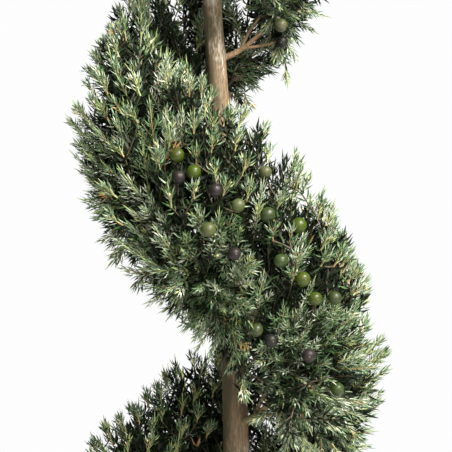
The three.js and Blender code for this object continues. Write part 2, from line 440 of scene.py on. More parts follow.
@dataclass
class MeshStore:
    """Gathers many small shapes into one mesh, with a finish for each face."""

    finishes: list[PlainFinish | BarkFinish | BerryFinish]
    points: list[np.ndarray] = field(default_factory=list)
    faces: list[np.ndarray] = field(default_factory=list)
    slots: list[np.ndarray] = field(default_factory=list)
    smooth: list[np.ndarray] = field(default_factory=list)
    count: int = 0

    def add_points(self, points: np.ndarray) -> int:
        """Adds vertices, in millimetres, and returns the number of the first."""
        self.points.append(points)
        self.count += len(points)
        return self.count - len(points)

    def add_faces(self, faces: np.ndarray, slots: np.ndarray | int, smooth: bool = False) -> None:
        """Adds faces.

        Args:
            faces: Vertex numbers, one face to a row.
            slots: Which finish each face takes, or one for all.
            smooth: Whether the faces are shaded smooth.
        """
        self.faces.append(faces)
        self.slots.append(np.broadcast_to(slots, len(faces)))
        self.smooth.append(np.full(len(faces), smooth))

    def add_skins(self, points: np.ndarray, slots: np.ndarray | int) -> int:
        """Adds open tubes, all with the same number of rings and corners.

        Args:
            points: The corners, as tubes by rings by corners by 3.
            slots: The finish of each stretch between two rings, as tubes by rings less one, or one for all.

        Returns:
            The number of the first vertex.
        """
        tubes, rings, sides = points.shape[:3]
        first = self.add_points(points.reshape(-1, 3))
        row = first + (np.arange(tubes)[:, None, None] * rings + np.arange(rings - 1)[:, None]) * sides
        k = np.arange(sides)
        a, b = row + k, row + (k + 1) % sides
        kinds = np.repeat(np.broadcast_to(slots, (tubes, rings - 1)).ravel(), sides)
        self.add_faces(np.stack([a, b, b + sides, a + sides], axis=-1).reshape(-1, 4), kinds, smooth=True)
        return first

    def add_tubes(
        self, centres: np.ndarray, along: np.ndarray, radii: np.ndarray, sides: int, slots: np.ndarray | int
    ) -> None:
        """Adds open tubes of round rings.

        Args:
            centres: Ring centres, as tubes by rings by 3.
            along: The way each ring faces, in the same shape.
            radii: Ring radii, as tubes by rings.
            sides: Corners of a ring.
            slots: The finish of each stretch between two rings, as tubes by rings less one, or one for all.
        """
        if len(radii):
            self.add_skins(centres[:, :, None] + rings_round(along, sides) * radii[:, :, None, None], slots)

    def triangles(self) -> int:
        """How many triangles the mesh has."""
        return sum(len(f) * (f.shape[1] - 2) for f in self.faces)

    def piece(self, name: str, slot: str, *replaced: str) -> bpy.types.Object:
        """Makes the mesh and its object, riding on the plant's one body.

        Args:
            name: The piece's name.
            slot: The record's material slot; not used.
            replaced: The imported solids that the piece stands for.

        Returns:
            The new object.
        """
        mesh = bpy.data.meshes.new(name)
        points = np.concatenate(self.points) * MM
        sizes = np.concatenate([np.full(len(f), f.shape[1]) for f in self.faces])
        mesh.vertices.add(len(points))
        mesh.vertices.foreach_set("co", points.astype(np.float32).ravel())
        mesh.loops.add(int(sizes.sum()))
        corners = np.concatenate([f.ravel() for f in self.faces])
        mesh.loops.foreach_set("vertex_index", corners.astype(np.int32))
        mesh.polygons.add(len(sizes))
        mesh.polygons.foreach_set("loop_start", (np.cumsum(sizes) - sizes).astype(np.int32))
        mesh.polygons.foreach_set("material_index", np.concatenate(self.slots).astype(np.int32))
        mesh.polygons.foreach_set("use_smooth", np.concatenate(self.smooth))
        mesh.update(calc_edges=True)
        for finish in self.finishes:
            mesh.materials.append(finish.material())
        piece = bpy.data.objects.new(name, mesh)
        bpy.context.scene.collection.objects.link(piece)
        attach(piece, BODY)
        if replaced:
            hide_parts(*replaced)
        LOG.info("%s: %d triangles", name, self.triangles())
        return piece


# ---- Trunk and boughs ----


@dataclass
class Trunk:
    """The whole stem, from its flat cut at the ground to its tip, with fibrous bark and branch collars."""

    sides: int = 40
    step: float = 2.8            # millimetres between two rings
    ridge: float = 0.05          # height of the bark's long ridges, as a share of the radius
    ridge_gap: float = 3.4       # from one ridge to the next; lesser ones lie half as far apart
    ridge_flatness: float = 0.09     # width of a ridge, as a share of its length
    wave: float = 0.05           # how much the stem swells and narrows, as a share of the radius
    wave_length: float = 38.0
    fleck: float = 0.28          # height of the small flakes
    fleck_gap: float = 2.1
    fleck_flatness: float = 0.4
    bark: float = 0.1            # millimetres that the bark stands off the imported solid
    lobes: int = 5
    lobe_swell: float = 0.18     # how far the roots' tops stand out at the ground, as a share of the radius
    lobe_height: float = 26.0
    collar: float = 1.35         # how far the bark swells round a bough, in bough radii
    collar_swell: float = 0.55   # and how high
    heights: np.ndarray = field(init=False)
    centres: np.ndarray = field(init=False)
    radii: np.ndarray = field(init=False)

    def __post_init__(self) -> None:
        """Reads the stem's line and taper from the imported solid's rings."""
        points = vertices_of("trunk")
        self.heights = np.unique(np.round(points[:, 2], 1))
        rings = [points[np.abs(points[:, 2] - h) < 0.2] for h in self.heights]
        self.centres = np.array([r[:, :2].min(0) / 2 + r[:, :2].max(0) / 2 for r in rings])
        self.radii = np.array([
            np.linalg.norm(r[:, :2] - c, axis=1).max() for r, c in zip(rings, self.centres)
        ])

    def centre(self, heights: np.ndarray) -> np.ndarray:
        """The stem's centre at each height."""
        x, y = (np.interp(heights, self.heights, self.centres[:, i]) for i in (0, 1))
        return np.stack([x, y, np.asarray(heights, float)], axis=-1)

    def radius(self, heights: np.ndarray) -> np.ndarray:
        """The stem's radius at each height."""
        return np.interp(heights, self.heights, self.radii)

    def build(self, boughs: list[Bough]) -> bpy.types.Object:
        """Makes the stem's mesh.

        Args:
            boughs: The limbs, for the collars where they leave the stem.

        Returns:
            The new piece.
        """
        count = int(self.heights[-1] / self.step)
        heights = np.linspace(0.0, self.heights[-1], count)
        angle = 2 * math.pi * np.arange(self.sides) / self.sides
        round_it = np.stack([np.cos(angle), np.sin(angle), 0 * angle], axis=-1)
        centres, radii = self.centre(heights), self.radius(heights)
        grid = centres[:, None] + round_it * radii[:, None, None]
        flat = grid.reshape(-1, 3)
        drawn_out = flat * (1.0, 1.0, self.ridge_flatness)
        ridges = drift(drawn_out, self.ridge_gap) + 0.6 * drift(drawn_out, self.ridge_gap / 2, 5.0)
        waves = drift(flat, self.wave_length, 9.0)
        flakes = drift(flat * (1.0, 1.0, self.fleck_flatness), self.fleck_gap, 3.0)
        swell = 1 + self.ridge * ridges + self.wave * waves
        flare = self.lobe_swell * np.exp(-flat[:, 2] / self.lobe_height)
        swell += flare * np.tile(np.cos(self.lobes * angle), count)
        wide = np.repeat(radii, self.sides)
        reach = self.bark + wide * swell + self.fleck * flakes * smooth_step(2, 6, wide)
        for bough in boughs:
            away = np.linalg.norm(flat - bough.foot(self), axis=1) / (self.collar * bough.radii[0])
            reach += self.collar_swell * bough.radii[0] * np.exp(-away**2)
        points = np.repeat(centres, self.sides, axis=0) + np.tile(round_it, (count, 1)) * reach[:, None]
        store = MeshStore([STEM_BARK])
        rings = points.reshape(count, self.sides, 3)
        store.add_skins(rings[None], 0)
        k = np.arange(self.sides)
        for ring, turned in ((rings[0], True), (rings[-1], False)):
            first = store.add_points(np.vstack([ring, ring.mean(0)]))
            fan = first + np.stack([k, (k + 1) % self.sides, np.full(self.sides, self.sides)], axis=-1)
            store.add_faces(fan[:, ::-1] if turned else fan, 0)
        return store.piece("trunk_bark", "bark", "trunk")


class Fork(NamedTuple):
    """Where a lesser limb leaves a bough."""

    share: float                 # how far along the bough
    angle: float                 # degrees off it
    tilt: float                  # degrees round it, from level


@dataclass
class Bough:
    """One limb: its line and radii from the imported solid, and its bark."""

    node: str
    sides: int = 12
    step: float = 1.6
    relief: float = 0.09         # bark relief, as a share of the radius
    fine: float = 2.4            # millimetres across a small ridge of the bark
    coarse: float = 6.5          # and across a big one
    forks: tuple[Fork, ...] = (Fork(0.42, 36.0, 95.0), Fork(0.47, 32.0, -75.0))
    fork_length: float = 26.0
    bare: float = 0.75           # share of the limb that no spray grows across
    bare_room: float = 5.0       # how far sprays keep off it at the foot
    slimness: float = 0.8        # the bark's radius beyond the foot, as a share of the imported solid's
    line: np.ndarray = field(init=False)
    radii: np.ndarray = field(init=False)

    def __post_init__(self) -> None:
        """Groups the solid's vertices into rings along its length, from the stem outwards."""
        points = vertices_of(self.node)
        away = np.linalg.norm(points[:, :2], axis=1)
        start, end = points[away.argmin()], points[away.argmax()]
        share = (points - start) @ unit(end - start)
        order = np.argsort(share)
        groups = np.split(order, np.where(np.diff(share[order]) > 1.5)[0] + 1)
        groups = [g for g in groups if len(g) > 4]
        self.line = np.array([points[g].mean(0) for g in groups])
        self.radii = np.array([
            np.median(np.linalg.norm(points[g] - points[g].mean(0), axis=1)) for g in groups
        ])
        self.radii[0] = self.radii[1] * 1.1

    def clearings(self, trunk: Trunk) -> np.ndarray:
        """The bare room round the limb's lower part, as rows of x, y, z and radius."""
        curve, _ = self.path(trunk)
        bare = curve[: int(self.bare * len(curve)) : 3]
        return np.column_stack([bare, np.linspace(self.bare_room, 0.5 * self.bare_room, len(bare))])

    def foot(self, trunk: Trunk) -> np.ndarray:
        """Where the limb's line meets the stem's surface."""
        centre = trunk.centre(self.line[0][2])
        out = unit((self.line[0] - centre) * (1, 1, 0))
        return centre + out * trunk.radius(self.line[0][2])

    def path(self, trunk: Trunk) -> tuple[np.ndarray, np.ndarray]:
        """The limb's smooth centre line and radii, from inside the stem to its end.

        Args:
            trunk: The stem that it leaves.

        Returns:
            The points, and the radius at each.
        """
        inside = trunk.centre(self.line[0][2] - 0.4 * trunk.radius(self.line[0][2]))
        knots = np.vstack([inside, self.line[1:]])
        radii = np.concatenate([[self.radii[0] * 1.1], self.radii[1:] * self.slimness])
        at = np.concatenate([[0.0], np.cumsum(np.linalg.norm(np.diff(knots, axis=0), axis=1))])
        where = np.linspace(0, at[-1], max(4, int(at[-1] / self.step)))
        curve = np.stack([np.polyval(np.polyfit(at, knots[:, i], 3), where) for i in range(3)], axis=-1)
        return curve, np.interp(where, at, radii)

    def limbs(self, trunk: Trunk) -> list[tuple[np.ndarray, np.ndarray]]:
        """The limb and the two lesser limbs that leave it where it forks.

        Args:
            trunk: The stem that it leaves.

        Returns:
            The points and the radii of each, the limb itself first.
        """
        curve, radii = self.path(trunk)
        found = [(curve, radii)]
        along = unit(np.gradient(curve, axis=0))
        for share, angle, tilt in self.forks:
            start = int(share * len(curve))
            ahead = along[start]
            side = unit(np.cross(ahead, UP))
            out = side * math.cos(math.radians(tilt)) + np.cross(side, ahead) * math.sin(math.radians(tilt))
            turned = ahead * math.cos(math.radians(angle)) + out * math.sin(math.radians(angle))
            s = np.arange(0.0, self.fork_length, self.step)[:, None]
            line = curve[start] + turned * s + (ahead - turned) * s**2 / (3.2 * self.fork_length)
            found.append((line, radii[start] * np.linspace(0.72, 0.4, len(line))))
        return found

    def add_to(self, store: MeshStore, trunk: Trunk, slot: int) -> None:
        """Adds the limb's mesh, and its forks', to a store.

        Args:
            store: Where the meshes go.
            trunk: The stem that it leaves.
            slot: The store's finish for bark.
        """
        for curve, radii in self.limbs(trunk):
            ring = rings_round(unit(np.gradient(curve, axis=0)), self.sides)
            flat = (curve[:, None] + ring * radii[:, None, None]).reshape(-1, 3)
            rough = 1 + self.relief * (drift(flat, self.fine, 4.0) + drift(flat, self.coarse, 8.0))
            reach = radii[:, None] * rough.reshape(len(curve), self.sides)
            store.add_skins((curve[:, None] + ring * reach[:, :, None])[None], slot)


# ---- Foliage ----


@dataclass
class Shoots:
    """Many leafy shoots.

    A point of one lies at start + heading * s + bend * s * s, with s up to its length.
    """

    start: np.ndarray
    heading: np.ndarray
    bend: np.ndarray
    length: np.ndarray
    bare: np.ndarray             # length of the foot that has no needles
    tone: np.ndarray             # number of the needles' tone
    face: np.ndarray             # the way out of the foliage, which fans of side shoots are turned to

    def at(self, which: np.ndarray, s: np.ndarray) -> np.ndarray:
        """Points on the shoots.

        Args:
            which: Number of each point's shoot.
            s: Distance of each point along it.

        Returns:
            The points, one to a row.
        """
        s = s[:, None]
        return self.start[which] + self.heading[which] * s + self.bend[which] * s * s

    def along(self, which: np.ndarray, s: np.ndarray) -> np.ndarray:
        """The way the shoots run at some points, with the arguments that at() takes."""
        return unit(self.heading[which] + 2 * self.bend[which] * s[:, None])

    def kept(self, keep: np.ndarray) -> Shoots:
        """Some of these shoots, by number or by truth."""
        return Shoots(*[getattr(self, f.name)[keep] for f in fields(self)])

    def joined(self, other: Shoots) -> Shoots:
        """These shoots and others together."""
        pairs = [(getattr(self, f.name), getattr(other, f.name)) for f in fields(self)]
        return Shoots(*[np.concatenate(pair) for pair in pairs])

    def cut_short(self, balls: np.ndarray, shortest: float = 5.0) -> Shoots:
        """Ends each shoot where it meets a ball, and drops those that are left with too little.

        Args:
            balls: The balls, as rows of x, y, z and radius.
            shortest: Length below which a cut shoot is dropped.

        Returns:
            The shoots that are left.
        """
        shares = np.linspace(0.05, 1.0, 20)
        every = np.arange(len(self.length))
        spots = np.stack([self.at(every, share * self.length) for share in shares], axis=1)
        inside = np.zeros(spots.shape[:2], bool)
        for ball in balls:
            inside |= np.linalg.norm(spots - ball[:3], axis=2) < ball[3]
        reach = np.where(inside.any(axis=1), shares[inside.argmax(axis=1)] - shares[0], 1.0)
        left = self.kept(every)
        left.length = self.length * reach
        return left.kept((reach == 1.0) | (left.length > shortest))


@dataclass(frozen=True)
class NeedleForm:
    """The needles: narrow, pointed and folded, in whorls that close up at a shoot's tip."""

    length: float = 5.5
    tip_length: float = 4.5
    width: float = 1.0
    whorl: int = 3
    spacing: float = 2.1         # millimetres from whorl to whorl
    spread: float = 44.0         # degrees off the shoot
    tip_spread: float = 20.0
    young_tips: float = 0.0      # share of the tips that are yellower than the rest
    widest: float = 0.34         # where a needle is widest, as a share of its length
    fold: float = 0.42           # depth of the fold, as a share of the width
    banded: int = 0              # how many tones paler one half is, and darker the other

    def add_to(
        self, store: MeshStore, shoots: Shoots, keep_clear: np.ndarray, rng: np.random.Generator
    ) -> None:
        """Adds the needles of many shoots to a store.

        Args:
            store: Where the needles go.
            shoots: The shoots that carry them.
            keep_clear: Balls that no needle enters, as rows of x, y, z and radius.
            rng: The source of chance.
        """
        rows = np.maximum(((shoots.length - shoots.bare) / self.spacing).astype(int), 1)
        which = np.repeat(np.arange(len(rows)), rows)
        rank = np.arange(len(which)) - np.repeat(np.cumsum(rows) - rows, rows)
        last = rank == rows[which] - 1
        s = shoots.length[which] - (rows[which] - 1 - rank) * self.spacing
        s -= rng.uniform(0.0, 0.6, len(which))
        share = s / shoots.length[which]
        turn = rng.uniform(0, 2 * math.pi, len(rows))[which] + rank * math.pi / self.whorl

        which, last, s, share, turn = (np.repeat(v, self.whorl) for v in (which, last, s, share, turn))
        count = len(which)
        turn = turn + np.tile(np.arange(self.whorl), count // self.whorl) * 2 * math.pi / self.whorl
        turn += rng.normal(0, 0.12, count)
        near_tip = smooth_step(0.66, 1.0, share)
        closing = (self.tip_spread - self.spread) * near_tip
        spread = np.radians(self.spread + closing + rng.normal(0, 6.0, count))
        length = (self.length + (self.tip_length - self.length) * near_tip) * rng.normal(1.0, 0.13, count)
        width = self.width * rng.normal(1.0, 0.1, count)

        along = shoots.along(which, s)
        side = unit(np.cross(along, rng.normal(0, 1, (len(rows), 3))[which]))
        out = side * np.cos(turn)[:, None] + np.cross(along, side) * np.sin(turn)[:, None]
        heading = unit(along * np.cos(spread)[:, None] + out * np.sin(spread)[:, None])
        base = shoots.at(which, s) + out * 0.3
        flat = unit(np.cross(heading, out))
        roll = rng.normal(0, 0.5, count)[:, None]
        flat = flat * np.cos(roll) + np.cross(heading, flat) * np.sin(roll)
        half = (flat * width[:, None]) / 2
        curl = unit(heading + along * rng.uniform(-0.05, 0.25, count)[:, None])
        tip = base + (heading * 0.6 + curl * 0.4) * length[:, None]

        keep = np.ones(count, bool)
        for ball in keep_clear:
            for point in ((base + tip) / 2, tip):
                keep &= np.linalg.norm(point - ball[:3], axis=1) > ball[3]
        fold = np.cross(flat, heading) * self.fold * self.width
        middle = base + heading * (self.widest * length)[:, None] + fold
        shape = np.stack([base, middle + half, tip, middle - half], axis=1)[keep]
        which, last = which[keep], last[keep]
        young = last & (rng.random(len(last)) < self.young_tips)
        tone = shoots.tone[which]
        steps = rng.choice([-1, 0, 1], len(tone), p=[0.25, 0.5, 0.25]) * ((tone > 0) & (tone <= PALEST))
        tone = np.where(young, NEEDLE_TONES.index(NeedleTone.YOUNG), tone + steps)
        first = store.add_points(shape.reshape(-1, 3)) + 4 * np.arange(len(shape))[:, None]
        for face, lighter in (([0, 1, 2], 1), ([0, 2, 3], -1)):
            banded = np.clip(tone + lighter * self.banded, 0, PALEST)
            store.add_faces(first + np.array(face), np.where(tone > PALEST, tone, banded))


OUTER_NEEDLES = NeedleForm(young_tips=0.08, banded=1)
UNDER_NEEDLES = NeedleForm(length=7.0, tip_length=6.0, width=1.3, spacing=3.0)
INNER_NEEDLES = NeedleForm(length=8.0, tip_length=7.5, width=2.0, spacing=3.2, tip_spread=30)
TWIG_NEEDLES = NeedleForm(length=6.5, tip_length=6.5, width=1.3, spacing=3.6, spread=50, tip_spread=45)
OLD_NEEDLES = NeedleForm(length=8.5, tip_length=8.5, width=2.1, spacing=3.0, spread=62, tip_spread=50)


@dataclass
class Twigs:
    """The forking wood inside a mass, as points that each know the one they grow from."""

    points: list[np.ndarray] = field(default_factory=list)
    parents: list[int] = field(default_factory=list)
    paths: list[float] = field(default_factory=list)
    fixed: int = 0               # how many points belong to the limbs themselves
    step: float = 7.0
    thrift: float = 0.42         # how much a long way back to the stem counts against a fork
    sag: float = 0.05            # how far a twig sags, as a share of its length
    stout_from: float = 1.6      # times the least radius, from which a twig is drawn rounder
    old_from: float = 1.9        # times the least radius, from which its bark is grey-brown

    def start_from(self, line: np.ndarray, parent: int) -> None:
        """Takes in a limb that twigs may fork from, with the number of the point that it leaves, or -1."""
        for point in line:
            path = 0.0
            if parent >= 0:
                path = self.paths[parent] + float(np.linalg.norm(point - self.points[parent]))
            self.paths.append(path)
            self.points.append(point)
            self.parents.append(parent)
            parent = len(self.points) - 1
        self.fixed = len(self.points)

    def grow_to(self, target: np.ndarray, rng: np.random.Generator) -> int:
        """Grows a twig to a point from wherever it is cheapest to fork.

        Args:
            target: Where the twig goes.
            rng: The source of chance.

        Returns:
            The number of the new end point.
        """
        cloud = np.array(self.points)
        far = np.linalg.norm(cloud - target, axis=1)
        parent = int(np.argmin(far + self.thrift * np.array(self.paths)))
        start, length = cloud[parent], far[parent]
        pieces = max(1, int(round(length / self.step)))
        bow = rng.normal(0, 0.07, 3) * length - UP * self.sag * length
        for i in range(1, pieces + 1):
            t = i / pieces
            point = start + (target - start) * t + bow * math.sin(math.pi * t)
            self.points.append(point)
            self.parents.append(parent)
            self.paths.append(self.paths[parent] + length / pieces)
            parent = len(self.points) - 1
        return parent

    def loads(self) -> np.ndarray:
        """How many sprays each point carries."""
        load = np.zeros(len(self.points))
        children = np.zeros(len(self.points), int)
        for parent in self.parents[1:]:
            children[parent] += 1
        load[children == 0] = 1
        for i in range(len(self.points) - 1, 0, -1):
            load[self.parents[i]] += load[i]
        return load

    def leafy(self, lightest: float, heaviest: float, tone: NeedleTone) -> Shoots:
        """The stretches of twig that keep needles.

        Args:
            lightest: The fewest sprays that such a twig carries.
            heaviest: The most sprays that it carries.
            tone: The needles' tone.

        Returns:
            The stretches, as straight shoots.
        """
        points, parents, load = np.array(self.points), np.array(self.parents), self.loads()
        own = np.arange(self.fixed, len(points))
        own = own[(load[own] >= lightest) & (load[own] <= heaviest)]
        start, end = points[parents[own]], points[own]
        length = np.linalg.norm(end - start, axis=1)
        keep = length > 1.0
        start, end, length = start[keep], end[keep], length[keep]
        return Shoots(
            start=start, heading=(end - start) / length[:, None], bend=np.zeros_like(start),
            length=length, bare=np.zeros(len(start)), face=np.zeros_like(start),
            tone=np.full(len(start), NEEDLE_TONES.index(tone)),
        )

    def add_to(self, store: MeshStore, thick: float, thin: float) -> None:
        """Adds the twigs' meshes to a store whose finishes are the WoodTone ones.

        Args:
            store: Where the twigs go.
            thick: Radius where the whole load is carried.
            thin: Radius where one spray is carried.
        """
        points, parents, load = np.array(self.points), np.array(self.parents), self.loads()
        power = math.log(thick / thin) / math.log(max(load.max(), 2))
        radius = thin * np.maximum(load, 1) ** power
        main = np.full(len(points), -1)
        for i in range(1, len(points)):
            p = parents[i]
            if main[p] < 0 or load[i] > load[main[p]]:
                main[p] = i
        own = np.arange(1, len(points))
        before = points[own] - points[parents[own]]
        after = np.where((main[own] >= 0)[:, None], points[np.maximum(main[own], 0)] - points[own], before)
        heading = np.vstack([before[:1], unit(before) + unit(after)])
        own = own[own >= self.fixed]
        parent = parents[own]
        follows = (main[parent] == own) & (parent > 0)
        start_heading = np.where(follows[:, None], heading[parent], points[own] - points[parent])
        start_radius = np.where(follows, radius[parent], np.minimum(radius[own] * 1.12, radius[parent]))
        centres = np.stack([points[parent], points[own]], axis=1)
        along = unit(np.stack([start_heading, heading[own]], axis=1))
        radii = np.stack([start_radius, radius[own]], axis=1)
        old, brown = WOOD_TONES.index(WoodTone.OLD), WOOD_TONES.index(WoodTone.BROWN)
        slots = np.where(radius[own] > self.old_from * thin, old, brown)
        stout = radius[own] > self.stout_from * thin
        for sides, chosen in ((3, ~stout), (5, stout)):
            store.add_tubes(centres[chosen], along[chosen], radii[chosen], sides, slots[chosen][:, None])


@dataclass
class Outline:
    """The clipped surface of all the foliage, to tell its own face from the joints between two masses."""

    nodes: list[str]
    joint: float = 1.2           # distance to the next mass within which the surface counts as a joint
    far: float = 90.0            # how deep the thickness is measured
    tree: BVHTree = field(init=False)
    owners: np.ndarray = field(init=False)

    def __post_init__(self) -> None:
        """Builds the search tree over every mass."""
        points, corners, count = [], [], 0
        for node in self.nodes:
            vertices = vertices_of(node)
            points.append(vertices)
            corners.append(corners_of(node) + count)
            count += len(vertices)
        self.tree = BVHTree.FromPolygons(
            np.concatenate(points).tolist(), np.concatenate(corners).tolist(), all_triangles=True
        )
        self.owners = np.repeat(self.nodes, [len(c) for c in corners])

    def is_joint(self, point: np.ndarray, out: np.ndarray) -> bool:
        """Whether a point of a mass's surface lies against the next mass."""
        return self.tree.ray_cast(Vector(point + 0.05 * out), Vector(out), self.joint)[0] is not None

    def thickness(self, point: np.ndarray, inwards: np.ndarray) -> float:
        """How far the foliage goes on from a surface point, across the joints between masses."""
        total, at = 0.0, Vector(point + 0.4 * inwards)
        for _ in range(3):
            hit = self.tree.ray_cast(at, Vector(inwards), self.far)
            if hit[0] is None:
                break
            total = (hit[0] - Vector(point)).length
            at = hit[0] + Vector(inwards) * 0.8
            beyond = self.tree.ray_cast(at, Vector(inwards), 1.0)
            if beyond[0] is None and self.tree.ray_cast(at, Vector(inwards), self.far)[0] is None:
                break
        return total

    def surface(self, node: str, density: float, rng: np.random.Generator) -> tuple[np.ndarray, np.ndarray]:
        """Random points on a mass's own surface, leaving out its joints.

        Args:
            node: The mass.
            density: Points per square millimetre.
            rng: The source of chance.

        Returns:
            The points, and the outward direction at each.
        """
        points, corners = vertices_of(node), corners_of(node)
        a, b, c = (points[corners[:, i]] for i in range(3))
        cross = np.cross(b - a, c - a)
        area = np.linalg.norm(cross, axis=1) / 2
        count = int(area.sum() * density)
        chosen = rng.choice(len(area), count, p=area / area.sum())
        u, v = rng.random((2, count, 1))
        flip = (u + v) > 1
        u, v = np.where(flip, 1 - u, u), np.where(flip, 1 - v, v)
        spots = a[chosen] + u * (b - a)[chosen] + v * (c - a)[chosen]
        out = unit(cross[chosen])
        free = np.array([not self.is_joint(p, n) for p, n in zip(spots, out)], bool)
        return spots[free], out[free]


@dataclass(frozen=True)
class Snip:
    """A place where the sprays are moved off the smooth outline: clipped further in, or left standing."""

    place: tuple[float, float, float]
    reach: float                 # distance at which the push has fallen to about a third
    push: tuple[float, float]    # along x and upwards

    def at(self, points: np.ndarray) -> np.ndarray:
        """How far each point is moved, in millimetres."""
        away = np.linalg.norm(points - self.place, axis=1) / self.reach
        return np.exp(-(away**2))[:, None] * (self.push[0], 0.0, self.push[1])


SNIPS = (
    Snip((-74, 5, 665), 26, (14, 0)), Snip((-87, 0, 620), 18, (4, 0)),
    Snip((-75, -25, 545), 26, (-7, -3)), Snip((-62, -35, 515), 24, (-6, -3)),
    Snip((-40, -48, 484), 14, (-4, -8)), Snip((-25, -49, 462), 12, (1, 0)),
    Snip((76, -30, 520), 22, (-7, -3)), Snip((86, -20, 492), 16, (-13, -2)),
    Snip((90, -14, 468), 10, (8, 0)), Snip((30, -50, 573), 17, (10, 9)),
    Snip((14, -50, 578), 12, (5, 8)), Snip((46, -44, 553), 10, (-5, -3)),
    Snip((-84, -5, 598), 14, (-8, 0)), Snip((-72, 20, 398), 16, (-8, 2)),
    Snip((36, 30, 612), 12, (13, -2)), Snip((61, 28, 634), 14, (12, 0)),
    Snip((34, 34, 607), 12, (-5, 7)), Snip((97, -9, 452), 20, (-3, 0)),
    Snip((-36, 43, 434), 20, (2, -1)), Snip((20, -50, 430), 24, (2, -9)),
    Snip((24, -40, 412), 18, (3, -13)), Snip((36, -36, 690), 24, (0, -15)),
)


@dataclass(frozen=True)
class Habit:
    """How one mass differs from the others."""

    openness: float = 1.0        # how much wider than usual its sprays are spaced
    trim: float = 0.0            # how much lower than the outline its upper half is clipped
    shading: float = 0.0         # how much darker its tones are, as a share of their range: painted shade for masses in the shadow of those above
    bare_room: float = 5.0       # how far its sprays keep off the foot of its limb


# shading is painted shade on the masses that lie in the shadow of those above
HABITS = {
    "foliage_04": Habit(shading=0.1),
    "foliage_05": Habit(trim=1.0, shading=0.18),
    "foliage_06": Habit(trim=1.0, shading=0.18),
    "foliage_07": Habit(openness=1.4, shading=0.1),
    "foliage_08": Habit(trim=10.0, bare_room=0.5),
    "foliage_09": Habit(trim=4.0, bare_room=0.5),
    "foliage_10": Habit(trim=3.0, bare_room=0.5),
    "foliage_11": Habit(trim=10.0),
    "foliage_12": Habit(openness=1.15, trim=11.0, bare_room=11.0),
    "foliage_13": Habit(openness=1.45, bare_room=11.0),
    "foliage_14": Habit(openness=1.5, bare_room=11.0),
}


@dataclass(frozen=True)
class Layer:
    """How the sprays of one depth stand."""

    gap: float                   # millimetres between two spray tips
    sink: tuple[float, float]    # how far the tips lie under the outline
    length: float
    forks: tuple[float, ...]     # where the side shoots leave, as shares of the length
    rings: int                   # rings of a main shoot's stem
    needles: NeedleForm
    shade: float = 0.0           # how much darker the tones are, as a share of their range: painted shade for the deeper layers
    leaders: float = 0.0         # share of the sprays that stick out of the clipped outline


# the shade of the under and inner layers is painted shade, for needles deep in the foliage
LAYERS = (
    Layer(9.7, (0.0, 11.0), 38.0, (0.2, 0.3, 0.4, 0.5, 0.6, 0.69), 4, OUTER_NEEDLES, leaders=0.26),
    Layer(9.3, (10.0, 19.0), 25.0, (0.35, 0.6, 0.8), 2, UNDER_NEEDLES, shade=0.66),
)
INNER = Layer(8.0, (18.0, 60.0), 22.0, (0.4, 0.7), 2, INNER_NEEDLES, shade=1.0)


@dataclass(frozen=True)
class TipForm:
    """What closes a shoot: a fat bud, or a sharp point of needles that haven't opened."""

    length: float
    radius: float
    tone: WoodTone
    share: float                 # of the shoots, how many end in one


BUD = TipForm(2.6, 0.8, WoodTone.BUD, 0.07)
SPIKE = TipForm(7.5, 0.45, WoodTone.TIP, 0.45)

MAIN_STEM = (0.7, 0.38)      # radius at the foot and at the end
SIDE_STEM = (0.42, 0.26)


